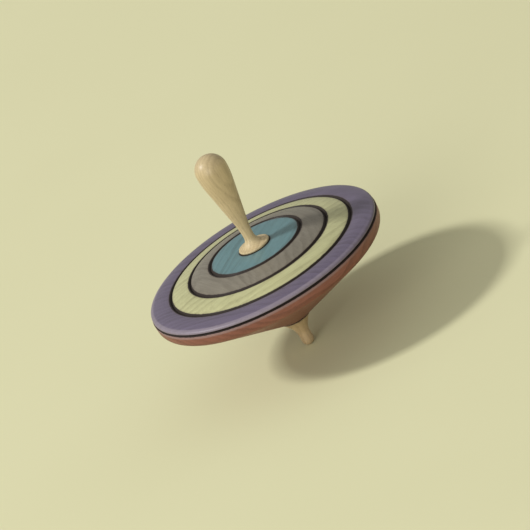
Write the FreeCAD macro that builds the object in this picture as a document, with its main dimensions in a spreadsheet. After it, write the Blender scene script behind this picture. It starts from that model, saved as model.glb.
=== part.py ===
import FreeCAD, Part
import os
import Sketcher

# Hand-twirled wooden spinning top, turned on a lathe in seven pieces and glued up on one axis.
#
# The row's origin is the lowest point of the foot and +Z runs up the spin axis.  Every piece is a
# body of revolution: half a section, drawn on the body's own XZ plane with the radius across and
# the height above the foot's tip upwards, is turned a full circle.
#
# The lower body is a shallow cone with a flat-bottomed recess in its top.  A rim ring, two inlay
# rings and a centre disc nest in that recess.  The handle's tenon drops through the disc into the
# body's bore, and the foot's tenon comes up the same bore from below.  Every joint that shows has
# a V groove burned along it, half of it cut from each neighbour.

# Driving dimensions in millimetres: the cell's alias, its value and what it measures.
DIMENSIONS = [
    ("rim_radius", 40.0, "outside of the lower body, the widest part"),
    ("rim_round", 3.2, "rounding under the rim"),
    ("rim_lean", 0.25, "how far the rim wall leans in towards its foot"),
    ("rim_foot_height", 28.1, "where the rim wall and the cone would meet unrounded"),
    ("seat_height", 11.05, "underside of the body, where the foot's shoulder is glued"),
    ("cone_end_radius", 5.7, "small end of the cone, outside the groove round the foot"),
    ("cone_end_height", 10.95, "lowest point of the lower body"),
    ("recess_radius", 36.5, "recess in the body's top"),
    ("recess_floor", 29.5, "floor of the recess, which all the rings stand on"),
    ("seam_height", 32.2, "top of the body's lip, and root of the groove under the rim ring"),
    ("seam_depth", 0.8, "depth of the groove under the rim ring"),
    ("seam_half", 0.45, "half the mouth of the groove under the rim ring"),
    ("nose_radius", 0.9, "round nose of the rim ring"),
    ("nose_inset", 0.2, "how far the nose stays inside the rim"),
    ("nose_turn", 70.0, "degrees that the nose turns before it runs into the ring's top"),
    ("rim_crown", 0.4, "how much the rim ring's top bulges, so that it runs on from the nose"),
    ("outer_joint", 31.8, "joint between the rim ring and the outer inlay ring"),
    ("middle_joint", 24.1, "joint between the two inlay rings"),
    ("inner_joint", 15.9, "joint between the inner inlay ring and the centre disc"),
    ("dome_height", 34.46, "height of the domed top at the outer joint"),
    ("dome_slope", 0.24, "rise of the domed top for each millimetre towards the middle"),
    ("ring_crown", 0.3, "how much each ring's top bulges between its grooves"),
    ("groove_half", 0.55, "half the mouth of a groove in the top"),
    ("groove_depth", 0.7, "depth of a groove in the top"),
    ("land_radius", 5.7, "flat land in the middle of the disc, under the handle's flange"),
    ("land_height", 38.35, "height of that land"),
    ("bore_radius", 3.0, "bore through the disc and the body, and both tenons"),
    ("tenon_chamfer", 0.4, "lead-in on the end of each tenon"),
    ("handle_tenon_end", 18.0, "lowest point of the handle's tenon"),
    ("foot_tenon_end", 17.0, "highest point of the foot's tenon, short of the handle's"),
    ("flange_radius", 5.3, "handle's flange"),
    ("flange_round", 0.45, "half the flange's thickness, rounded all the way"),
    ("neck_radius", 1.75, "thinnest part of the handle"),
    ("neck_blend", 30.0, "long hollow curve from the neck into the taper"),
    ("shoulder_blend", 31.0, "long full curve from the taper into the round top"),
    ("grip_radius", 5.33, "widest part of the handle and its round top"),
    ("grip_height", 67.7, "centre of the handle's round top"),
    ("pin_radius", 2.0, "foot's straight pin and its round tip"),
    ("pin_top", 5.0, "top of the foot's straight pin"),
    ("foot_radius", 5.1, "foot's flare just below the groove that meets the body"),
    ("foot_height", 10.35, "height of the flare's wide end"),
    ("foot_root", 4.6, "radius of that groove's root"),
    ("flare_hollow", 0.45, "how hollow the foot's flare is"),
    ("pin_blend", 4.0, "rounding where the pin runs into the flare"),
]

START, END, CENTRE = 1, 2, 3  # the points of a sketched line or arc
ROOT = (-1, 1)  # a sketch's own origin, as a geometry and a point on it
SPIN_AXIS = -2  # a sketch's own vertical axis
QUARTER_BULGE = "( 1 - cos( 45 ) )"  # how far a quarter arc of unit radius leaves its chord
FULL_TURN = 360.0
SAME_PLACE = 1e-3  # millimetres
TAPER_LOW, TAPER_HIGH = 0.2, 0.8  # shares of the handle's side where its taper is first drawn
SLIGHT_BEND = 0.1  # millimetres by which an arc is first bent, before its tangents settle it


def make_sheet(doc):
    """Write the driving dimensions into the spreadsheet, a row for each."""
    sheet = doc.addObject("Spreadsheet::Sheet", "Sizes")
    for row, (alias, value, meaning) in enumerate(DIMENSIONS, start=1):
        sheet.set(f"A{row}", alias)
        sheet.set(f"B{row}", str(value))
        sheet.set(f"C{row}", meaning)
        sheet.setAlias(f"B{row}", alias)
    doc.recompute()


def with_sheet(rule):
    """A rule over the sheet's aliases, with every alias spelled out as a cell of the sheet."""
    aliases = {alias for alias, _, _ in DIMENSIONS}
    spaced = rule.replace("(", "( ").replace(")", " )")
    return " ".join(f"Sizes.{word}" if word in aliases else word for word in spaced.split())


def dome_at(radius):
    """The rule for the height of the domed top at a radius that is itself a rule."""
    return f"dome_height + ( outer_joint - ( {radius} ) ) * dome_slope"


class Section:
    """Half a section on a body's XZ plane, drawn anticlockwise and bound to the sheet."""

    def __init__(self, body):
        self.body = body
        self.ends = []
        self.sketch = body.newObject("Sketcher::SketchObject", f"{body.Label}_section")
        plane = next(part for part in body.Origin.OriginFeatures if part.Role == "XZ_Plane")
        self.sketch.AttachmentSupport = [(plane, "")]
        self.sketch.MapMode = "FlatFace"

    def value(self, rule):
        """The present value of a rule."""
        return float(self.body.evalExpression(with_sheet(rule)))

    def spot(self, radius, height):
        """The present place of a point given by two rules."""
        return FreeCAD.Vector(self.value(radius), self.value(height), 0)

    def line(self, start, end):
        """Draw a line between two places and return its number."""
        self.ends.append((START, END))
        return self.sketch.addGeometry(Part.LineSegment(start, end))

    def arc(self, start, end, bulge):
        """Draw an arc that bulges to the right of its chord, or to the left below zero.

        A sketched arc always runs anticlockwise, so one drawn the other way has its ends swapped.
        """
        along = end - start
        outward = FreeCAD.Vector(along.y, -along.x, 0).normalize()
        middle = (start + end) * 0.5 + outward * bulge
        self.ends.append((START, END) if bulge > 0 else (END, START))
        return self.sketch.addGeometry(Part.Arc(start, middle, end))

    def bind(self, kind, operands, rule):
        """Add a dimension of the given kind, at its present value, and bind it to a rule."""
        constraint = Sketcher.Constraint(kind, *operands, self.value(rule))
        number = self.sketch.addConstraint(constraint)
        self.sketch.setExpression(f"Constraints[{number}]", with_sheet(rule))

    def place(self, piece, point, radius, height):
        """Hold one point of a piece at the place that two rules give."""
        if radius == "0":
            self.sketch.addConstraint(Sketcher.Constraint("PointOnObject", piece, point, SPIN_AXIS))
        else:
            self.bind("DistanceX", (*ROOT, piece, point), radius)
        self.bind("DistanceY", (*ROOT, piece, point), height)

    def place_start(self, piece, radius, height):
        """Hold the start of a piece at the place that two rules give."""
        self.place(piece, self.ends[piece][0], radius, height)

    def join(self, first, second, kind="Coincident"):
        """Join the end of one piece to the start of the next, sharp or tangent."""
        ends = (first, self.ends[first][1], second, self.ends[second][0])
        self.sketch.addConstraint(Sketcher.Constraint(kind, *ends))

    def align(self, kind, piece):
        """Put the end of an arc level with its centre, or straight above or below it."""
        ends = (piece, CENTRE, piece, self.ends[piece][1])
        self.sketch.addConstraint(Sketcher.Constraint(kind, *ends))

    def turn(self):
        """Turn the section a full circle about the spin axis."""
        turned = self.body.newObject("PartDesign::Revolution", f"{self.body.Label}_turned")
        turned.Profile = self.sketch
        turned.ReferenceAxis = (self.sketch, ["V_Axis"])
        turned.Angle = FULL_TURN
        self.body.Document.recompute()


def new_body(doc, label):
    """An empty body whose label is its node's name, standing at the row's origin."""
    body = doc.addObject("PartDesign::Body", label)
    body.Label = label
    body.Placement = FreeCAD.Placement()
    return body


def turned_from_corners(doc, label, corners):
    """A body turned from a closed outline, given anticlockwise as corners.

    A corner is a rule for its radius, a rule for its height and, where the outline leaves it on
    an arc, a rule for how far that arc bulges outwards, or inwards below zero.
    """
    body = new_body(doc, label)
    section = Section(body)
    following = corners[1:] + corners[:1]
    pieces = []
    for corner, target in zip(corners, following):
        start = section.spot(*corner[:2])
        end = section.spot(*target[:2])
        if len(corner) == 3:
            pieces.append(section.arc(start, end, section.value(corner[2])))
        else:
            pieces.append(section.line(start, end))
    for piece, next_piece in zip(pieces, pieces[1:] + pieces[:1]):
        section.join(piece, next_piece)
    for corner, piece in zip(corners, pieces):
        section.place_start(piece, *corner[:2])
    for corner, target, piece in zip(corners, following, pieces):
        if len(corner) == 3:
            across = f"( ( {target[0]} ) - ( {corner[0]} ) )"
            upwards = f"( ( {target[1]} ) - ( {corner[1]} ) )"
            bulge = f"abs( {corner[2]} )"
            chord_squared = f"( {across} * {across} + {upwards} * {upwards} )"
            section.bind("Radius", (piece,), f"{chord_squared} / ( 8 * {bulge} ) + {bulge} / 2")
    section.turn()
    return body


def finish_edge(body, kind, setting, rule, radius, height):
    """Fillet or chamfer the circular edge whose radius and height two rules give."""
    base = body.Tip
    edge_radius = float(body.evalExpression(with_sheet(radius)))
    edge_height = float(body.evalExpression(with_sheet(height)))
    names = []
    for number, edge in enumerate(base.Shape.Edges, start=1):
        if not edge.Degenerated and isinstance(edge.Curve, Part.Circle):
            radius_error = abs(edge.Curve.Radius - edge_radius)
            height_error = abs(edge.Curve.Center.z - edge_height)
            if max(radius_error, height_error) < SAME_PLACE:
                names.append(f"Edge{number}")
    feature = body.newObject(f"PartDesign::{kind}", f"{body.Label}_{kind.lower()}")
    feature.Base = (base, names)
    feature.setExpression(setting, with_sheet(rule))
    body.Document.recompute()
    if abs(feature.Shape.Volume - base.Shape.Volume) < SAME_PLACE:
        raise RuntimeError(f"{feature.Label} changed nothing")


def make_lower_body(doc):
    """The shallow cone under the rings, with its recess, its bore and its rounded rim."""
    body = turned_from_corners(doc, "lower_body", [
        ("bore_radius", "seat_height"),
        ("foot_root", "seat_height"),
        ("cone_end_radius", "cone_end_height"),
        ("rim_radius - rim_lean", "rim_foot_height"),
        ("rim_radius", "seam_height - seam_half"),
        ("rim_radius - seam_depth", "seam_height"),
        ("recess_radius", "seam_height"),
        ("recess_radius", "recess_floor"),
        ("bore_radius", "recess_floor"),
    ])
    finish_edge(body, "Fillet", "Radius", "rim_round", "rim_radius - rim_lean", "rim_foot_height")
    return body


def make_rim_ring(doc):
    """The outermost ring: a spigot in the recess, and a flange with a round nose over the lip."""
    inner_shoulder = "outer_joint + groove_half"
    nose_edge = "rim_radius - nose_inset"
    nose_foot = "seam_height + seam_half"
    nose_top = f"{nose_edge} - nose_radius * ( 1 - cos( nose_turn ) )"
    return turned_from_corners(doc, "rim_ring", [
        ("outer_joint", "recess_floor"),
        ("recess_radius", "recess_floor"),
        ("recess_radius", "seam_height"),
        ("rim_radius - seam_depth", "seam_height"),
        (nose_edge, nose_foot, "nose_radius * ( 1 - cos( nose_turn / 2 ) )"),
        (nose_top, f"{nose_foot} + nose_radius * sin( nose_turn )", "rim_crown"),
        (inner_shoulder, dome_at(inner_shoulder)),
        ("outer_joint", f"{dome_at('outer_joint')} - groove_depth"),
    ])


def make_inlay_ring(doc, label, outer, inner):
    """A plain ring on the recess floor whose crowned top is chamfered at both its joints."""
    outer_shoulder = f"{outer} - groove_half"
    inner_shoulder = f"{inner} + groove_half"
    return turned_from_corners(doc, label, [
        (inner, "recess_floor"),
        (outer, "recess_floor"),
        (outer, f"{dome_at(outer)} - groove_depth"),
        (outer_shoulder, dome_at(outer_shoulder), "ring_crown"),
        (inner_shoulder, dome_at(inner_shoulder)),
        (inner, f"{dome_at(inner)} - groove_depth"),
    ])


def make_centre_disc(doc):
    """The disc in the middle, bored for the handle, with a flat land under its flange."""
    return turned_from_corners(doc, "centre_disc", [
        ("bore_radius", "recess_floor"),
        ("inner_joint", "recess_floor"),
        ("inner_joint", f"{dome_at('inner_joint')} - groove_depth"),
        ("inner_joint - groove_half", dome_at("inner_joint"), "ring_crown / 2"),
        ("land_radius", "land_height"),
        ("bore_radius", "land_height"),
    ])


def make_handle(doc):
    """The twirling handle: tenon, thin flange, hollow flare, neck, taper and round top."""
    body = new_body(doc, "handle")
    section = Section(body)
    flare_start = "flange_radius - flange_round"
    flare = f"( {flare_start} - neck_radius )"
    flange_middle = "land_height + flange_round"
    flange_top = "land_height + 2 * flange_round"
    neck_height = f"{flange_top} + {flare}"
    neck_centre = "neck_radius + neck_blend"
    shoulder_centre = "grip_radius - shoulder_blend"

    tenon_middle = section.spot("0", "handle_tenon_end")
    tenon_corner = section.spot("bore_radius", "handle_tenon_end")
    tenon_root = section.spot("bore_radius", "land_height")
    flange_under = section.spot(flare_start, "land_height")
    flange_over = section.spot(flare_start, flange_top)
    neck = section.spot("neck_radius", neck_height)
    grip = section.spot("grip_radius", "grip_height")
    summit = section.spot("0", "grip_height + grip_radius")
    taper_start = neck + (grip - neck) * TAPER_LOW
    taper_end = neck + (grip - neck) * TAPER_HIGH

    tenon_end = section.line(tenon_middle, tenon_corner)
    tenon_side = section.line(tenon_corner, tenon_root)
    underside = section.line(tenon_root, flange_under)
    edge = section.arc(flange_under, flange_over, section.value("flange_round"))
    hollow = section.arc(flange_over, neck, -section.value(f"{flare} * {QUARTER_BULGE}"))
    neck_curve = section.arc(neck, taper_start, -SLIGHT_BEND)
    taper = section.line(taper_start, taper_end)
    shoulder = section.arc(taper_end, grip, SLIGHT_BEND)
    top = section.arc(grip, summit, section.value(f"grip_radius * {QUARTER_BULGE}"))
    axis = section.line(summit, tenon_middle)

    section.place_start(tenon_end, "0", "handle_tenon_end")
    section.join(tenon_end, tenon_side)
    section.place_start(tenon_side, "bore_radius", "handle_tenon_end")
    section.join(tenon_side, underside)
    section.place_start(underside, "bore_radius", "land_height")
    section.join(underside, edge)
    section.place_start(edge, flare_start, "land_height")
    section.place(edge, CENTRE, flare_start, flange_middle)
    section.align("Vertical", edge)
    section.join(edge, hollow)
    section.place(hollow, CENTRE, flare_start, neck_height)
    section.align("Horizontal", hollow)
    section.join(hollow, neck_curve)
    section.place(neck_curve, CENTRE, neck_centre, neck_height)
    section.join(neck_curve, taper, "Tangent")
    section.join(taper, shoulder, "Tangent")
    section.place(shoulder, CENTRE, shoulder_centre, "grip_height")
    section.join(shoulder, top)
    section.place_start(top, "grip_radius", "grip_height")
    section.place(top, CENTRE, "0", "grip_height")
    section.align("Vertical", top)
    section.join(top, axis)
    section.join(axis, tenon_end)
    section.turn()
    finish_edge(body, "Chamfer", "Size", "tenon_chamfer", "bore_radius", "handle_tenon_end")
    return body


def make_foot(doc):
    """The foot: a straight pin with a round tip, a hollow flare, a shoulder and its tenon."""
    body = turned_from_corners(doc, "foot", [
        ("0", "0", f"pin_radius * {QUARTER_BULGE}"),
        ("pin_radius", "pin_radius"),
        ("pin_radius", "pin_top", "0 - flare_hollow"),
        ("foot_radius", "foot_height"),
        ("foot_root", "seat_height"),
        ("bore_radius", "seat_height"),
        ("bore_radius", "foot_tenon_end"),
        ("0", "foot_tenon_end"),
    ])
    finish_edge(body, "Fillet", "Radius", "pin_blend", "pin_radius", "pin_top")
    finish_edge(body, "Chamfer", "Size", "tenon_chamfer", "bore_radius", "foot_tenon_end")
    return body


def check(doc, bodies):
    """Stop if anything in the document failed, or if a piece isn't one sound solid."""
    for item in doc.Objects:
        if "Invalid" in item.State or "Error" in item.State:
            raise RuntimeError(f"{item.Label} failed: {item.State}")
    for body in bodies:
        shape = body.Shape
        if shape.isNull() or not shape.isValid() or len(shape.Solids) != 1:
            raise RuntimeError(f"{body.Label} isn't one valid solid")
        box = shape.BoundBox
        print(f"{body.Label}: {shape.Volume:.1f} mm3, z {box.ZMin:.2f} to {box.ZMax:.2f}")


def main():
    """Build the document, check it and write each piece's STEP file."""
    doc = FreeCAD.newDocument("SpinningTop")
    make_sheet(doc)
    bodies = [
        make_lower_body(doc),
        make_rim_ring(doc),
        make_inlay_ring(doc, "outer_inlay_ring", "outer_joint", "middle_joint"),
        make_inlay_ring(doc, "inner_inlay_ring", "middle_joint", "inner_joint"),
        make_centre_disc(doc),
        make_handle(doc),
        make_foot(doc),
    ]
    doc.recompute()
    check(doc, bodies)
    os.makedirs("parts", exist_ok=True)
    for body in bodies:
        body.Shape.exportStep(f"parts/{body.Label}.step")


main()
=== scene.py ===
"""A hand-twirled wooden spinning top, turned in seven pieces, on a plain pale floor.

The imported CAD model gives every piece's place and outline.  This script turns each piece again as
a finer mesh, with softened edges, tool marks and uneven burned grooves, and gives it a wood
finish worked out from the piece's own coordinates.
"""

import logging
import math
from dataclasses import dataclass, replace
from enum import Enum
from typing import Iterable, Sequence

import bpy
from mathutils import Matrix, Vector

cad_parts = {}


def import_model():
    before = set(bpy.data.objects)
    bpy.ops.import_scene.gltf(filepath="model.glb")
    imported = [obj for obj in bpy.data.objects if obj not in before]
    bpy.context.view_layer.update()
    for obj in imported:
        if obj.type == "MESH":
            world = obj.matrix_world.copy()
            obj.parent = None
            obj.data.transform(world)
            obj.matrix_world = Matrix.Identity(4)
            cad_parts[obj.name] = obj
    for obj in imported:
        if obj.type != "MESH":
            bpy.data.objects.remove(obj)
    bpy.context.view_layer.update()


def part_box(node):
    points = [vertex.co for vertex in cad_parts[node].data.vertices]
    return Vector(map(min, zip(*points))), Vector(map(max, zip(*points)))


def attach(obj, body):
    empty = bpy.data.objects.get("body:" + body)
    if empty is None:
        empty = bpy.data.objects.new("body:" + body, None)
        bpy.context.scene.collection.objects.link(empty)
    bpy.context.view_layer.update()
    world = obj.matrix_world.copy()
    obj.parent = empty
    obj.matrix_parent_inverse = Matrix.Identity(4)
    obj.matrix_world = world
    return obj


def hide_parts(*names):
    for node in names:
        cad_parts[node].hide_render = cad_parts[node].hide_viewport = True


LOG = logging.getLogger("spinning_top")
MILLIMETRE = 0.001
ROOT_BODY = "root"

Colour = tuple[float, float, float]


def from_srgb(red: int, green: int, blue: int) -> Colour:
    """Turn a colour from a paint card, 0 to 255, into the linear colour that a shader takes.

    Args:
        red: Amount of red.
        green: Amount of green.
        blue: Amount of blue.

    Returns:
        The linear red, green and blue.
    """
    def linear(part: int) -> float:
        """Undo the display curve for one channel."""
        share = part / 255
        return share / 12.92 if share <= 0.04045 else ((share + 0.055) / 1.055) ** 2.4

    return linear(red), linear(green), linear(blue)


# ------------------------------------------------------------------ sections and turned meshes


@dataclass(frozen=True)
class Corner:
    """A corner of a turned piece's outline, and the run that leaves it.

    Attributes:
        radius: Distance from the spin axis, in millimetres.
        height: Height above the foot's tip, in millimetres.
        bulge: How far the run to the next corner bulges outwards; below zero it is hollow.
        soft: How far the edge is eased on each side of the corner.
        rills: Depth of the tool marks along the run.
    """

    radius: float
    height: float
    bulge: float = 0.0
    soft: float = 0.0
    rills: float = 0.0


class Section:
    """Half of a turned piece's section, as a closed string of points in millimetres."""

    EASE_POINTS = 4
    RILL_PITCH = 0.83
    RILL_BEAT = 2.9

    def __init__(self, corners: Sequence[Corner], step: float, closed: bool) -> None:
        """Keep the outline's corners.

        Args:
            corners: The outline, anticlockwise with the radius across and the height upwards.
            step: Longest distance between two points.
            closed: Whether the last corner runs back to the first, as on a ring; a solid piece
                starts and ends on the spin axis instead.
        """
        self.corners = list(corners)
        self.step = step
        self.closed = closed

    def run(self, start: Corner, end: Corner) -> list[Vector]:
        """Give the points of one run, with its eased ends cut off and its tool marks."""
        first = Vector((start.radius, start.height))
        last = Vector((end.radius, end.height))
        chord = last - first
        outward = Vector((chord.y, -chord.x)).normalized()
        count = max(2, math.ceil(chord.length / self.step))
        points = []
        for number in range(count + 1):
            share = number / count
            place = first.lerp(last, share)
            if start.bulge:
                place = self.on_arc(first, last, start.bulge, share)
            along = share * chord.length
            swell = math.sin(math.tau * along / self.RILL_PITCH)
            swell += 0.6 * math.sin(math.tau * along / self.RILL_BEAT + start.height)
            taper = min(1.0, 4 * share, 4 * (1 - share))
            points.append(place - outward * start.rills * taper * (0.5 + 0.5 * swell))
        return self.cut(points, start.soft, end.soft)

    @staticmethod
    def on_arc(first: Vector, last: Vector, bulge: float, share: float) -> Vector:
        """Give the point a share of the way along an arc between two places."""
        chord = last - first
        outward = Vector((chord.y, -chord.x)).normalized()
        half_turn = 2 * math.atan(2 * bulge / chord.length)
        radius = chord.length / (2 * math.sin(half_turn))
        centre = (first + last) / 2 - outward * radius * math.cos(half_turn)
        angle = -half_turn + 2 * half_turn * share
        along = chord.normalized()
        return centre + radius * (outward * math.cos(angle) + along * math.sin(angle))

    @staticmethod
    def cut(points: list[Vector], at_start: float, at_end: float) -> list[Vector]:
        """Drop the stretch next to each end that a soft edge takes up."""
        first, last = points[0], points[-1]
        kept = [
            point for point in points
            if (point - first).length > at_start * 1.3 and (point - last).length > at_end * 1.3
        ]
        toward = (points[1] - first).normalized()
        back = (points[-2] - last).normalized()
        return [first + toward * at_start, *kept, last + back * at_end]

    def points(self) -> list[Vector]:
        """Give the whole outline's points in order, with every corner eased."""
        pairs = list(zip(self.corners, self.corners[1:]))
        if self.closed:
            pairs.append((self.corners[-1], self.corners[0]))
        runs = [self.run(start, end) for start, end in pairs]
        outline = []
        for number, (run, (_, corner)) in enumerate(zip(runs, pairs)):
            outline += run
            is_last = number == len(runs) - 1
            if corner.soft and (self.closed or not is_last):
                following = runs[(number + 1) % len(runs)]
                outline += self.ease(run[-1], corner, following[0])
        return self.without_doubles(outline)

    def ease(self, before: Vector, corner: Corner, after: Vector) -> list[Vector]:
        """Give the points of the small curve that eases a corner."""
        tip = Vector((corner.radius, corner.height))
        count = max(self.EASE_POINTS, math.ceil(2 * corner.soft / self.step))
        curve = []
        for number in range(1, count):
            share = number / count
            curve.append(before.lerp(tip, share).lerp(tip.lerp(after, share), share))
        return curve

    def without_doubles(self, outline: list[Vector]) -> list[Vector]:
        """Drop points that fall on the one before."""
        nearest = self.step * 0.02
        kept = [outline[0]]
        for point in outline[1:]:
            if (point - kept[-1]).length > nearest:
                kept.append(point)
        if self.closed and (kept[0] - kept[-1]).length < nearest:
            kept.pop()
        return kept


def only_select(piece: bpy.types.Object) -> None:
    """Leave one object selected and active, and nothing else."""
    bpy.ops.object.select_all(action="DESELECT")
    piece.select_set(True)
    bpy.context.view_layer.objects.active = piece


def turn_on_lathe(name: str, section: Section, segments: int) -> bpy.types.Object:
    """Draw a section by extruding one point along it, and spin it about the Z axis.

    Args:
        name: The new object's name.
        section: The section to turn.
        segments: Faces round the piece.

    Returns:
        The new piece, closed and with its faces outwards.
    """
    outline = [
        Vector((point.x, 0.0, point.y)) * MILLIMETRE for point in section.points()
    ]
    bpy.ops.object.select_all(action="DESELECT")
    bpy.ops.mesh.primitive_circle_add(vertices=3, radius=MILLIMETRE)
    piece = bpy.context.object
    piece.name = name
    piece.data.name = name
    bpy.ops.object.mode_set(mode="EDIT")
    bpy.ops.mesh.select_all(action="SELECT")
    bpy.ops.mesh.merge(type="CENTER")
    bpy.ops.transform.translate(value=outline[0])
    for before, after in zip(outline, outline[1:]):
        bpy.ops.mesh.extrude_region_move(TRANSFORM_OT_translate={"value": after - before})
    if section.closed:
        bpy.ops.mesh.extrude_region_move(
            TRANSFORM_OT_translate={"value": outline[0] - outline[-1]}
        )
    bpy.ops.mesh.select_all(action="SELECT")
    bpy.ops.mesh.spin(steps=segments, angle=math.tau, center=(0, 0, 0), axis=(0, 0, 1))
    bpy.ops.mesh.select_all(action="SELECT")
    bpy.ops.mesh.remove_doubles(threshold=MILLIMETRE * 0.001)
    bpy.ops.mesh.normals_make_consistent(inside=False)
    bpy.ops.object.mode_set(mode="OBJECT")
    return piece


# ------------------------------------------------------------------------------ shader wording


class Graph:
    """A material's node tree, with one way to add a node."""

    def __init__(self, name: str) -> None:
        """Make an empty material of that name."""
        self.material = bpy.data.materials.new(name)
        self.material.use_nodes = True
        self.tree = self.material.node_tree
        self.tree.nodes.clear()

    def node(self, kind: str, inputs: dict, output: int | str = 0, **settings) -> "Wire":
        """Add a node.

        Args:
            kind: The node's type, without the words ShaderNode.
            inputs: Values or wires for its sockets, by name or number.
            output: Which of its outputs to return.
            **settings: Its settings, which are set before its sockets.

        Returns:
            The chosen output.
        """
        node = self.tree.nodes.new("ShaderNode" + kind)
        for setting, value in settings.items():
            if setting == "stops":
                self.set_stops(node.color_ramp, value)
            else:
                setattr(node, setting, value)
        for socket, value in inputs.items():
            if isinstance(value, Wire):
                self.tree.links.new(value.socket, node.inputs[socket])
            else:
                node.inputs[socket].default_value = value
        return Wire(self, node.outputs[output])

    @staticmethod
    def set_stops(ramp: bpy.types.ColorRamp, stops: Sequence[tuple[float, Colour]]) -> None:
        """Give a colour ramp its stops."""
        while len(ramp.elements) < len(stops):
            ramp.elements.new(1.0)
        for element, (place, colour) in zip(ramp.elements, stops):
            element.position = place
            element.color = (*colour, 1.0)

    def finish(self, shader: "Wire") -> bpy.types.Material:
        """Join the shader to the output, and give the material."""
        end = self.tree.nodes.new("ShaderNodeOutputMaterial")
        self.tree.links.new(shader.socket, end.inputs["Surface"])
        return self.material

    def mix(self, share: "Wire | float", first: "Wire | Colour", second: "Wire | Colour") -> "Wire":
        """Blend two colours."""
        first = first if isinstance(first, Wire) else (*first, 1.0)
        second = second if isinstance(second, Wire) else (*second, 1.0)
        sockets = {0: share, 6: first, 7: second}
        return self.node("Mix", sockets, 2, data_type="RGBA", clamp_factor=True)

    def split(self, vector: "Wire") -> tuple["Wire", "Wire", "Wire"]:
        """Give the three parts of a vector."""
        parts = self.node("SeparateXYZ", {0: vector})
        return tuple(Wire(self, socket) for socket in parts.socket.node.outputs)

    def join(self, across: "Wire", along: "Wire", up: "Wire") -> "Wire":
        """Make a vector from three numbers."""
        return self.node("CombineXYZ", {0: across, 1: along, 2: up})

    def noise(self, place: "Wire", detail: float = 2.0, roughness: float = 0.5) -> "Wire":
        """Give a smooth noise, about 0.2 to 0.8, of a place that is already to scale."""
        sockets = {"Vector": place, "Scale": 1.0, "Detail": detail, "Roughness": roughness}
        return self.node("TexNoise", sockets, "Fac")


@dataclass(frozen=True)
class Wire:
    """A node's output that Python's operators work on, each adding a Math node."""

    graph: Graph
    socket: bpy.types.NodeSocket

    def math(self, operation: str, *others: "Wire | float", clamp: bool = False) -> "Wire":
        """Add a Math node that takes this number and up to two more."""
        inputs = {0: self} | {place: other for place, other in enumerate(others, start=1)}
        return self.graph.node("Math", inputs, operation=operation, use_clamp=clamp)

    def __add__(self, other: "Wire | float") -> "Wire":
        """Add."""
        return self.math("ADD", other)

    def __sub__(self, other: "Wire | float") -> "Wire":
        """Take away."""
        return self.math("SUBTRACT", other)

    def __rsub__(self, other: float) -> "Wire":
        """Take this away from a number."""
        return self.math("MULTIPLY", -1.0).math("ADD", other)

    def __mul__(self, other: "Wire | float") -> "Wire":
        """Multiply."""
        return self.math("MULTIPLY", other)

    def __truediv__(self, other: "Wire | float") -> "Wire":
        """Divide."""
        return self.math("DIVIDE", other)

    def __pow__(self, other: float) -> "Wire":
        """Raise to a power."""
        return self.math("POWER", other)

    __radd__ = __add__
    __rmul__ = __mul__

    def rise(self, low: float, high: float) -> "Wire":
        """Go smoothly from 0 at the low value to 1 at the high one."""
        sockets = {"Value": self, "From Min": low, "From Max": high}
        return self.graph.node("MapRange", sockets, interpolation_type="SMOOTHSTEP")

    def root(self) -> "Wire":
        """Take the square root."""
        return self.math("SQRT")

    def clamped(self) -> "Wire":
        """Keep within 0 and 1."""
        return self.math("ADD", 0.0, clamp=True)


# ------------------------------------------------------------------------------------ finishes


class Grain(Enum):
    """Which way the fibres run, as the turn that lays them along the X axis."""

    ACROSS = 0.0
    UPRIGHT = math.pi / 2


@dataclass(frozen=True)
class Hoop:
    """A circle round the spin axis, in millimetres, and how far from it something reaches."""

    radius: float
    height: float
    reach: float


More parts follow.
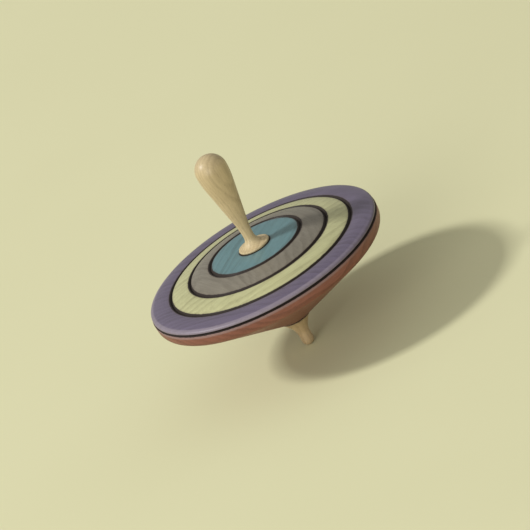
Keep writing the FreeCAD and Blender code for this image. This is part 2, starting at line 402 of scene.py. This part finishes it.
@dataclass(frozen=True)
class WoodFinish:
    """Turned wood, cut from a plank with growth rings, pores and fibres right through it.

    Attributes:
        name: The material's name.
        stain: Colour between the early and the late wood.
        grain: Which way the fibres run.
        turned: How far the plank's length is turned about the spin axis, in degrees.
        pith: Where the tree's heart lay beside and below the piece, in millimetres.
        spacing: Width of a growth ring, in millimetres.
        contrast: How far the late wood is darker than the stain.
        figure: How strongly the growth rings show.
        burns: Grooves burned black with a wire.
        worn_and_highlit: Edges where handling has thinned the stain, made paler on the side facing
            the lights as a painted highlight.
        wear_and_highlight_side: Where round the spin axis the wear and the painted highlight are
            strongest, the side facing the lights, in degrees.
        polish: Hoops that fingers or the table have burnished.
        roughness: Roughness of the lacquer.
        lacquer: How thickly the clear lacquer lies over the stain.
    """

    name: str
    stain: Colour
    grain: Grain = Grain.ACROSS
    turned: float = 0.0
    pith: tuple[float, float] = (12.0, -60.0)
    spacing: float = 1.7
    contrast: float = 0.3
    figure: float = 0.5
    burns: tuple[Hoop, ...] = ()
    worn_and_highlit: tuple[Hoop, ...] = ()
    # Faces the lights, so the pale edges on this side are partly a painted highlight.
    wear_and_highlight_side: float = 215.0
    polish: tuple[Hoop, ...] = ()
    roughness: float = 0.42
    lacquer: float = 0.12

    CHAR = from_srgb(38, 27, 19)
    SCORCH = from_srgb(84, 60, 44)
    # Pale wood where the stain is thin, also used as a painted highlight on the side facing the
    # lights.
    BARE_WOOD_AND_HIGHLIGHT = from_srgb(178, 166, 170)
    WARMTH = (1.0, 0.96, 0.92)

    @property
    def early(self) -> Colour:
        """Colour of the pale early wood."""
        return tuple(part * (1 + self.contrast / 2) for part in self.stain)

    @property
    def late(self) -> Colour:
        """Colour of the darker, warmer late wood."""
        shade = 1 - self.contrast
        return tuple(part * shade * warm for part, warm in zip(self.stain, self.WARMTH))

    @property
    def pore(self) -> Colour:
        """Colour of the stain that has gathered in the pores."""
        return tuple(part * 0.42 for part in self.late)

    def near(self, graph: Graph, place: Wire, hoops: Iterable[Hoop], soft: float) -> Wire:
        """Give 1 on the hoops and 0 beyond their reach, with a soft border."""
        across, along, up = graph.split(place)
        radius = (across * across + along * along).root()
        wobble = (graph.noise(self.scaled(graph, place, (0.9, 0.9, 0.9)), 3.0) - 0.5) * 0.28
        total = None
        for hoop in hoops:
            from_ring = radius - hoop.radius
            from_level = up - hoop.height
            distance = (from_ring * from_ring + from_level * from_level).root() + wobble
            mask = 1.0 - distance.rise(hoop.reach, hoop.reach + soft)
            total = mask if total is None else total.math("MAXIMUM", mask)
        return total

    def lit_side_wear_and_highlight(self, graph: Graph, place: Wire) -> Wire:
        """Give 1 on the side facing the lights, where wear and the painted highlight are strongest,
        fading to a little on the far side.
        """
        across, along, _ = graph.split(place)
        side = math.radians(self.wear_and_highlight_side)
        toward = across * math.cos(side) + along * math.sin(side)
        facing = toward / (across * across + along * along).root()
        return facing.rise(-0.6, 0.5) * 0.85 + 0.15

    @staticmethod
    def scaled(graph: Graph, place: Wire, scale: tuple[float, float, float]) -> Wire:
        """Stretch or squeeze a place along each axis."""
        return graph.node("VectorMath", {0: place, 1: scale}, operation="MULTIPLY")

    def growth_rings(self, graph: Graph, plank: Wire) -> Wire:
        """Give 0 in early wood, rising slowly to 1 in late wood and falling back fast."""
        _, beside, below = graph.split(plank)
        bend = graph.noise(self.scaled(graph, plank, (0.022, 0.05, 0.05)), 2.0)
        ripple = graph.noise(self.scaled(graph, plank, (0.07, 0.35, 0.35)), 3.0)
        sideways = beside - self.pith[0] + (bend - 0.5) * 14.0
        downwards = below - self.pith[1]
        distance = (sideways * sideways + downwards * downwards).root() + (ripple - 0.5) * 1.6
        years = distance / self.spacing
        season = years.math("FRACT")
        vigour = graph.node(
            "TexWhiteNoise", {"W": years.math("FLOOR")}, "Value", noise_dimensions="1D"
        )
        return season.rise(0.12, 0.86) * (1.0 - season.rise(0.86, 1.0)) * (vigour * 0.7 + 0.3)

    def make(self) -> bpy.types.Material:
        """Build the material.

        Returns:
            The finished wood.
        """
        graph = Graph(self.name)
        place = graph.node("TexCoord", {}, "Object")
        place = self.scaled(graph, place, (1 / MILLIMETRE,) * 3)
        turn = (0.0, self.grain.value, math.radians(self.turned))
        plank = graph.node("Mapping", {"Vector": place, "Rotation": turn}, vector_type="TEXTURE")
        late = self.growth_rings(graph, plank)
        fibre = graph.noise(self.scaled(graph, plank, (0.11, 2.4, 2.4)), 4.0, 0.6)
        pore = graph.noise(self.scaled(graph, plank, (0.42, 6.5, 6.5)), 2.0).rise(0.60, 0.70)
        blotch = graph.noise(self.scaled(graph, place, (0.07, 0.07, 0.07)), 2.0)
        speck = graph.noise(self.scaled(graph, place, (4.2, 4.2, 4.2)), 2.0)

        shade = late * self.figure + (fibre - 0.5) * 1.1 + (blotch - 0.5) * 0.45 + 0.16
        colour = graph.mix(shade.clamped(), self.early, self.late)
        colour = graph.mix(pore * (late * 0.45 + 0.2), colour, self.pore)

        height = fibre * 0.5 + late * 0.25 - pore * 0.55 + speck * 0.18
        rough = self.roughness + (fibre - 0.5) * 0.16 + (blotch - 0.5) * 0.14 + pore * 0.10
        # Pale edges: wear all round, made stronger on the side facing the lights as a painted
        # highlight.
        if self.worn_and_highlit:
            wear_and_highlight = self.near(graph, place, self.worn_and_highlit, 0.5) * (speck * 0.8 + 0.3)
            wear_and_highlight = wear_and_highlight * self.lit_side_wear_and_highlight(graph, place)
            colour = graph.mix(wear_and_highlight * 0.42, colour, self.BARE_WOOD_AND_HIGHLIGHT)
            rough = rough + wear_and_highlight * 0.12
        if self.polish:
            burnished = self.near(graph, place, self.polish, 4.0)
            colour = graph.mix(burnished * 0.25, colour, self.late)
            rough = rough - burnished * 0.12
        if self.burns:
            scorched = self.near(graph, place, self.burns, 0.8)
            colour = graph.mix(scorched * 0.22, colour, self.SCORCH)
            charred = self.near(graph, place, self.burns, 0.17)
            colour = graph.mix(charred, colour, self.CHAR)
            rough = rough + charred * 0.35
            height = height + charred * speck * 0.9
        relief = {"Height": height, "Strength": 0.55, "Distance": 0.00006}
        surface = {
            "Base Color": colour,
            "Roughness": rough.clamped(),
            "Normal": graph.node("Bump", relief),
            "Coat Weight": self.lacquer,
            "Coat Roughness": 0.36,
            "Specular IOR Level": 0.38,
        }
        return graph.finish(graph.node("BsdfPrincipled", surface))


# -------------------------------------------------------------------------------------- pieces

QUARTER_BULGE = 1 - math.cos(math.pi / 4)


@dataclass(frozen=True)
class Sizes:
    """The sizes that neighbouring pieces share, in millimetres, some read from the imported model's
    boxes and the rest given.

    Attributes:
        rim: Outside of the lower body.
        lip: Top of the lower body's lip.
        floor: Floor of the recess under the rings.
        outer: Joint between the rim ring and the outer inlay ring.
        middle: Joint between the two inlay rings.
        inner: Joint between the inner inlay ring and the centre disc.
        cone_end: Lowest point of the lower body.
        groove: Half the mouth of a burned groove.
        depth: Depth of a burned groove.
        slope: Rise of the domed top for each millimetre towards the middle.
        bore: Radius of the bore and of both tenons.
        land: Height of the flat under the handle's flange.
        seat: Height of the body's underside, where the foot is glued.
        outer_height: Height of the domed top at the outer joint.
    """

    rim: float
    lip: float
    floor: float
    outer: float
    middle: float
    inner: float
    cone_end: float
    groove: float = 0.55
    depth: float = 0.7
    slope: float = 0.24
    bore: float = 3.0
    land: float = 38.35
    seat: float = 11.05
    outer_height: float = 34.46

    @classmethod
    def from_frame(cls) -> "Sizes":
        """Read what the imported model's boxes give."""
        body_low, body_high = (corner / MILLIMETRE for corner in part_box("lower_body"))

        def radius(node: str) -> float:
            """Give a node's outer radius."""
            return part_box(node)[1].x / MILLIMETRE

        return cls(
            rim=body_high.x,
            lip=body_high.z,
            floor=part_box("centre_disc")[0].z / MILLIMETRE,
            outer=radius("outer_inlay_ring"),
            middle=radius("inner_inlay_ring"),
            inner=radius("centre_disc"),
            cone_end=body_low.z,
        )

    def dome(self, radius: float) -> float:
        """Give the height of the domed top at a radius."""
        return self.outer_height + (self.outer - radius) * self.slope

    def burn(self, radius: float) -> Hoop:
        """Give the burned groove at a joint in the top."""
        return Hoop(radius, self.dome(radius) - self.depth, 0.95)


@dataclass
class TurnedPiece:
    """One piece off the lathe, standing for the CAD node of the same name.

    Attributes:
        sizes: The sizes that it shares with its neighbours.
        node: The CAD node that it stands for.
        slot: The record's material slot; not used.
        segments: Faces round the piece.
        step: Longest distance between two points of its section, in millimetres.
        closed: Whether the piece is bored right through.
        waver: How far the surface wanders from true, in millimetres.
    """

    sizes: Sizes
    node: str = ""
    slot: str = ""
    segments: int = 256
    step: float = 0.3
    closed: bool = True
    waver: float = 0.03

    def corners(self) -> list[Corner]:
        """Give the outline of the piece's section."""
        raise NotImplementedError

    def finish(self) -> WoodFinish:
        """Give the wood that the piece is dressed in."""
        raise NotImplementedError

    def build(self) -> bpy.types.Object:
        """Turn the piece, ease it off true, dress it and fasten it to the frame.

        Returns:
            The finished piece.
        """
        section = Section(self.corners(), self.step, self.closed)
        piece = turn_on_lathe(f"turned_{self.node}", section, self.segments)
        self.ease_off_true(piece)
        piece.data.materials.append(self.finish().make())
        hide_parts(self.node)
        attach(piece, ROOT_BODY)
        LOG.info("%s: %d faces", piece.name, len(piece.data.polygons))
        return piece

    def ease_off_true(self, piece: bpy.types.Object) -> None:
        """Let the surface wander a little, as hand-sanded wood does."""
        wander = bpy.data.textures.new(f"{self.node}_wander", "CLOUDS")
        wander.noise_scale = 11 * MILLIMETRE
        wander.noise_depth = 1
        modifier = piece.modifiers.new("wander", "DISPLACE")
        modifier.texture = wander
        modifier.texture_coords = "LOCAL"
        modifier.strength = self.waver * MILLIMETRE
        modifier.mid_level = 0.75
        only_select(piece)
        bpy.ops.object.modifier_apply(modifier=modifier.name)
        bpy.ops.object.shade_smooth_by_angle(angle=math.radians(40))


@dataclass
class LowerBody(TurnedPiece):
    """The brown cone, with the recess and lip that the rings sit in."""

    node: str = "lower_body"
    slot: str = "brown_stained_wood"
    step: float = 0.36
    rim_round: float = 1.82
    rim_lean: float = 0.25
    rim_foot: float = 28.1
    seam_half: float = 0.45
    seam_depth: float = 0.8
    recess: float = 36.5
    foot_root: float = 4.6
    cone_end_radius: float = 5.7

    def corners(self) -> list[Corner]:
        """Give the outline, from the bore's lower edge outwards."""
        size = self.sizes
        return [
            Corner(size.bore, size.seat),
            Corner(self.foot_root, size.seat, soft=0.1),
            Corner(self.cone_end_radius, size.cone_end, soft=0.14, rills=0.022),
            Corner(size.rim - self.rim_lean, self.rim_foot, soft=self.rim_round, rills=0.008),
            Corner(size.rim, size.lip - self.seam_half, soft=0.16),
            Corner(size.rim - self.seam_depth, size.lip, soft=0.08),
            Corner(self.recess, size.lip),
            Corner(self.recess, size.floor),
            Corner(size.bore, size.floor),
        ]

    def finish(self) -> WoodFinish:
        """Brown stain over wood with a lively figure."""
        size = self.sizes
        return WoodFinish(
            name="brown_stained_wood",
            stain=from_srgb(123, 76, 61),
            turned=18.0,
            pith=(9.0, -22.0),
            spacing=2.1,
            contrast=0.36,
            figure=0.65,
            roughness=0.5,
            lacquer=0.05,
            burns=(
                Hoop(size.rim - self.seam_depth, size.lip, 0.72),
                Hoop(self.foot_root, size.seat, 0.98),
            ),
            # Pale rim edge: wear, paler on the side facing the lights as a painted highlight.
            worn_and_highlit=(Hoop(size.rim, size.lip - self.seam_half - 0.2, 0.25),),
        )


@dataclass
class RimRing(TurnedPiece):
    """The violet ring with a round nose, whose spigot sits in the recess."""

    node: str = "rim_ring"
    slot: str = "violet_stained_wood"
    step: float = 0.22
    segments: int = 288
    recess: float = 36.5
    seam_half: float = 0.45
    seam_depth: float = 0.8
    nose: float = 0.9
    nose_inset: float = 0.2
    nose_turn: float = math.radians(70)
    crown: float = 0.4

    def corners(self) -> list[Corner]:
        """Give the outline, from the spigot's inner edge outwards."""
        size = self.sizes
        nose_edge = size.rim - self.nose_inset
        nose_foot = size.lip + self.seam_half
        nose_top = nose_edge - self.nose * (1 - math.cos(self.nose_turn))
        nose_bulge = self.nose * (1 - math.cos(self.nose_turn / 2))
        shoulder = size.outer + size.groove
        return [
            Corner(size.outer, size.floor, soft=0.2),
            Corner(self.recess, size.floor, soft=0.2),
            Corner(self.recess, size.lip),
            Corner(size.rim - self.seam_depth, size.lip, soft=0.06),
            Corner(nose_edge, nose_foot, bulge=nose_bulge, soft=0.08),
            Corner(
                nose_top, nose_foot + self.nose * math.sin(self.nose_turn),
                bulge=self.crown, rills=0.014,
            ),
            Corner(shoulder, size.dome(shoulder), soft=0.13),
            Corner(size.outer, size.dome(size.outer) - size.depth, soft=0.1),
        ]

    def finish(self) -> WoodFinish:
        """Violet stain, thinned a little by handling on the nose, and paler there on the lit side
        as a painted highlight.
        """
        size = self.sizes
        nose_edge = size.rim - self.nose_inset
        return WoodFinish(
            name="violet_stained_wood",
            stain=from_srgb(99, 90, 109),
            turned=-34.0,
            pith=(34.0, -14.0),
            burns=(size.burn(size.outer), Hoop(size.rim - self.seam_depth, size.lip, 0.58)),
            # Pale band on the nose: wear, widened and paler on the side facing the lights as a
            # painted highlight.
            worn_and_highlit=(Hoop(nose_edge - self.nose * 0.4, size.lip + self.seam_half + self.nose, 0.7),),
        )


@dataclass
class InlayRing(TurnedPiece):
    """A plain ring between two joints.

    Attributes:
        outside: Radius of its outer joint.
        inside: Radius of its inner joint.
        wood: The wood that it is cut from, without its burned grooves.
        crown: How much its top bulges.
    """

    outside: float = 0.0
    inside: float = 0.0
    wood: WoodFinish | None = None
    crown: float = 0.3
    step: float = 0.24

    def corners(self) -> list[Corner]:
        """Give the outline, from the inner edge of its foot outwards."""
        size = self.sizes
        outer_shoulder = self.outside - size.groove
        inner_shoulder = self.inside + size.groove
        return [
            Corner(self.inside, size.floor, soft=0.2),
            Corner(self.outside, size.floor, soft=0.2),
            Corner(self.outside, size.dome(self.outside) - size.depth, soft=0.1),
            Corner(
                outer_shoulder, size.dome(outer_shoulder),
                bulge=self.crown, soft=0.13, rills=0.014,
            ),
            Corner(inner_shoulder, size.dome(inner_shoulder), soft=0.13),
            Corner(self.inside, size.dome(self.inside) - size.depth, soft=0.1),
        ]

    def finish(self) -> WoodFinish:
        """Give its wood the two burned grooves beside it."""
        burns = (self.sizes.burn(self.outside), self.sizes.burn(self.inside))
        return replace(self.wood, burns=burns)


@dataclass
class CentreDisc(TurnedPiece):
    """The blue-green disc in the middle, with a flat land for the handle's flange."""

    node: str = "centre_disc"
    slot: str = "blue_green_stained_wood"
    step: float = 0.24
    segments: int = 224
    land_radius: float = 5.7
    flange_edge: float = 5.35
    crown: float = 0.15

    def corners(self) -> list[Corner]:
        """Give the outline, from the bore's lower edge outwards."""
        size = self.sizes
        joint_height = size.dome(size.inner)
        return [
            Corner(size.bore, size.floor),
            Corner(size.inner, size.floor, soft=0.2),
            Corner(size.inner, joint_height - size.depth, soft=0.1),
            Corner(
                size.inner - size.groove, joint_height,
                bulge=self.crown, soft=0.13, rills=0.014,
            ),
            Corner(self.land_radius, size.land),
            Corner(size.bore, size.land),
        ]

    def finish(self) -> WoodFinish:
        """Blue-green stain, scorched where the flange meets it."""
        size = self.sizes
        return WoodFinish(
            name="blue_green_stained_wood",
            stain=from_srgb(94, 127, 131),
            turned=52.0,
            pith=(-30.0, -16.0),
            spacing=1.5,
            burns=(size.burn(size.inner), Hoop(self.flange_edge, size.land, 0.22)),
        )


@dataclass
class Handle(TurnedPiece):
    """The pale handle: tenon, flange, hollow flare, neck, taper and round top."""

    node: str = "handle"
    slot: str = "pale_wood"
    segments: int = 128
    closed: bool = False
    waver: float = 0.04
    flange: float = 5.3
    flange_round: float = 0.45
    neck: float = 1.75
    neck_blend: float = 30.0
    shoulder_blend: float = 31.0

    def corners(self) -> list[Corner]:
        """Give the outline, from the tenon's end up to the round top."""
        size = self.sizes
        low, high = (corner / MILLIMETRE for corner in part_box(self.node))
        grip, tenon_end, top = high.x, low.z, high.z
        grip_height = top - grip
        flare_start = self.flange - self.flange_round
        flare = flare_start - self.neck
        flange_top = size.land + 2 * self.flange_round
        neck_height = flange_top + flare
        slant = self.slant(grip - self.neck, grip_height - neck_height)
        sag = 1 - math.cos(slant / 2)
        side, rise = 1 - math.cos(slant), math.sin(slant)
        return [
            Corner(0.0, tenon_end),
            Corner(size.bore, tenon_end, soft=0.4),
            Corner(size.bore, size.land),
            Corner(flare_start, size.land, bulge=self.flange_round),
            Corner(flare_start, flange_top, bulge=-flare * QUARTER_BULGE),
            Corner(self.neck, neck_height, bulge=-self.neck_blend * sag),
            Corner(
                self.neck + self.neck_blend * side, neck_height + self.neck_blend * rise,
                rills=0.012,
            ),
            Corner(
                grip - self.shoulder_blend * side, grip_height - self.shoulder_blend * rise,
                bulge=self.shoulder_blend * sag,
            ),
            Corner(grip, grip_height, bulge=grip * QUARTER_BULGE),
            Corner(0.0, top),
        ]

    def slant(self, outwards: float, upwards: float) -> float:
        """Give the angle of the taper that touches both long curves.

        Args:
            outwards: How much wider the grip is than the neck.
            upwards: How much higher the grip is than the neck.

        Returns:
            The taper's angle from the spin axis, in radians.
        """
        both = self.neck_blend + self.shoulder_blend
        reach = math.hypot(both - outwards, upwards)
        return math.atan2(upwards, both - outwards) - math.acos(both / reach)

    def finish(self) -> WoodFinish:
        """Clear lacquer over pale wood, burnished where fingers twirl it."""
        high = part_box(self.node)[1].z / MILLIMETRE
        return WoodFinish(
            name="pale_wood_of_the_handle",
            stain=from_srgb(193, 174, 134),
            grain=Grain.UPRIGHT,
            turned=25.0,
            pith=(14.0, -9.0),
            spacing=1.5,
            figure=0.45,
            roughness=0.52,
            lacquer=0.07,
            polish=(Hoop(4.0, high - 8.0, 6.0),),
            burns=(Hoop(self.flange, self.sizes.land - 0.1, 0.12),),
        )


@dataclass
class Foot(TurnedPiece):
    """The pale foot: a pin with a round tip, a hollow flare and a tenon."""

    node: str = "foot"
    slot: str = "pale_wood"
    segments: int = 128
    step: float = 0.2
    closed: bool = False
    waver: float = 0.02
    pin: float = 2.0
    pin_top: float = 5.0
    flare_foot: float = 10.35
    flare_hollow: float = 0.45
    pin_blend: float = 0.55
    root: float = 4.6

    def corners(self) -> list[Corner]:
        """Give the outline, from the round tip up to the tenon's end."""
        size = self.sizes
        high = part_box(self.node)[1] / MILLIMETRE
        return [
            Corner(0.0, 0.0, bulge=self.pin * QUARTER_BULGE),
            Corner(self.pin, self.pin),
            Corner(self.pin, self.pin_top, bulge=-self.flare_hollow, soft=self.pin_blend),
            Corner(high.x, self.flare_foot, soft=0.12),
            Corner(self.root, size.seat),
            Corner(size.bore, size.seat),
            Corner(size.bore, high.z, soft=0.4),
            Corner(0.0, high.z),
        ]

    def finish(self) -> WoodFinish:
        """The handle's wood again, darkened and burnished at the tip."""
        return WoodFinish(
            name="pale_wood_of_the_foot",
            stain=from_srgb(184, 160, 122),
            grain=Grain.UPRIGHT,
            turned=140.0,
            pith=(11.0, 13.0),
            spacing=1.5,
            figure=0.45,
            burns=(Hoop(self.root, self.sizes.seat, 0.72),),
            polish=(Hoop(0.0, 0.0, 1.0),),
        )


# --------------------------------------------------------------------------------------- stage


@dataclass(frozen=True)
class Lamp:
    """A square soft light that hangs round the top and shines on it.

    Attributes:
        name: The light's name.
        azimuth: Where it hangs round the spin axis, in degrees from the X axis.
        elevation: How high it hangs, in degrees.
        distance: Distance from the top, in metres.
        size: Length of its side, in metres.
        power: Its power, in watts.
    """

    name: str
    azimuth: float
    elevation: float
    distance: float
    size: float
    power: float

    def hang(self, target: Vector) -> None:
        """Hang the light and turn it towards its target."""
        level = math.cos(math.radians(self.elevation))
        bearing = Vector((
            level * math.cos(math.radians(self.azimuth)),
            level * math.sin(math.radians(self.azimuth)),
            math.sin(math.radians(self.elevation)),
        ))
        bpy.ops.object.light_add(type="AREA", location=target + bearing * self.distance)
        light = bpy.context.object
        light.name = self.name
        light.data.size = self.size
        light.data.energy = self.power
        light.rotation_mode = "QUATERNION"
        light.rotation_quaternion = (-bearing).to_track_quat("-Z", "Y")


@dataclass
class Studio:
    """The plain floor, the soft lights and the camera.

    Attributes:
        elevation: Height of the camera above the disc's plane, in radians.
        lean: How far the spin axis leans left in the picture, in radians.
        width: Width of the picture at the disc, in metres.
        distance: Distance from the camera to the disc, in metres.
        shift: Where the middle of the rim lies right of and above the picture's middle.
        rim_height: Height of the rim's plane.
        air: Strength of the even light that fills the shadows.
        lamps: The lights.
    """

    elevation: float = math.radians(21.7)
    lean: float = math.radians(29.8)
    width: float = 0.16706
    distance: float = 3.0
    shift: tuple[float, float] = (-0.00069, 0.00154)
    rim_height: float = 0.0327
    air: float = 0.42
    lamps: tuple[Lamp, ...] = (
        Lamp("key_light", 172.0, 46.0, 3.4, 0.46, 74.0),
        Lamp("front_light", 240.0, 20.0, 3.4, 2.10, 53.0),
    )

    def build(self) -> None:
        """Build all of it."""
        self.lay_floor()
        for lamp in self.lamps:
            lamp.hang(Vector((0.0, 0.0, self.rim_height)))
        self.set_camera()
        self.tint_air()

    @staticmethod
    def lay_floor() -> None:
        """Lay a wide pale floor that the foot stands on."""
        bpy.ops.object.select_all(action="DESELECT")
        bpy.ops.mesh.primitive_plane_add(size=8.0)
        floor = bpy.context.object
        floor.name = "floor"
        graph = Graph("pale_floor")
        place = graph.node("TexCoord", {}, "Object")
        grain = graph.noise(WoodFinish.scaled(graph, place, (900.0,) * 3), 2.0)
        cloud = graph.noise(WoodFinish.scaled(graph, place, (9.0,) * 3), 2.0)
        tone = graph.mix(cloud, from_srgb(214, 211, 170), from_srgb(218, 215, 175))
        bump = graph.node("Bump", {"Height": grain, "Strength": 0.1, "Distance": 0.0001})
        surface = {"Base Color": tone, "Roughness": 0.85, "Normal": bump,
                   "Specular IOR Level": 0.15}
        floor.data.materials.append(graph.finish(graph.node("BsdfPrincipled", surface)))

    def set_camera(self) -> None:
        """Look down on the disc from the front, rolled so that the spin axis leans left."""
        flat_right = Vector((1.0, 0.0, 0.0))
        flat_up = Vector((0.0, math.sin(self.elevation), math.cos(self.elevation)))
        cosine, sine = math.cos(self.lean), math.sin(self.lean)
        right = cosine * flat_right - sine * flat_up
        up = sine * flat_right + cosine * flat_up
        back = right.cross(up)
        aim = Vector((0.0, 0.0, self.rim_height)) - self.shift[0] * right - self.shift[1] * up
        bpy.ops.object.camera_add(location=aim + back * self.distance)
        camera = bpy.context.object
        camera.name = "camera"
        turn = Matrix((right, up, back)).transposed()
        camera.rotation_mode = "QUATERNION"
        camera.rotation_quaternion = turn.to_quaternion()
        camera.data.lens = camera.data.sensor_width * self.distance / self.width
        camera.data.clip_start, camera.data.clip_end = 0.05, 20.0
        bpy.context.scene.camera = camera

    def tint_air(self) -> None:
        """Fill the shadows with an even pale light, and show colours as they are."""
        world = bpy.data.worlds.new("pale_air")
        bpy.context.scene.world = world
        world.use_nodes = True
        background = world.node_tree.nodes["Background"]
        background.inputs["Color"].default_value = (*from_srgb(250, 249, 244), 1.0)
        background.inputs["Strength"].default_value = self.air
        bpy.context.scene.view_settings.view_transform = "Standard"


# ---------------------------------------------------------------------------------------- main


def inlay_rings(sizes: Sizes) -> list[InlayRing]:
    """Give the two plain rings, from the outside in."""
    cream_green = WoodFinish(
        name="cream_green_stained_wood",
        stain=from_srgb(180, 179, 134),
        turned=11.0,
        pith=(-36.0, -18.0),
    )
    grey_brown = WoodFinish(
        name="grey_brown_stained_wood",
        stain=from_srgb(121, 115, 102),
        turned=-71.0,
        pith=(28.0, -12.0),
        spacing=1.5,
    )
    return [
        InlayRing(
            sizes, "outer_inlay_ring", "cream_green_stained_wood",
            outside=sizes.outer, inside=sizes.middle, wood=cream_green, segments=256,
        ),
        InlayRing(
            sizes, "inner_inlay_ring", "grey_brown_stained_wood",
            outside=sizes.middle, inside=sizes.inner, wood=grey_brown, segments=224,
        ),
    ]


def main() -> None:
    """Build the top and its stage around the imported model."""
    logging.basicConfig(level=logging.INFO, format="%(name)s: %(message)s")
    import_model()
    sizes = Sizes.from_frame()
    Studio().build()
    pieces = [LowerBody(sizes), RimRing(sizes), *inlay_rings(sizes), CentreDisc(sizes),
              Handle(sizes), Foot(sizes)]
    for piece in pieces:
        piece.build()


if __name__ == "__main__":
    main()
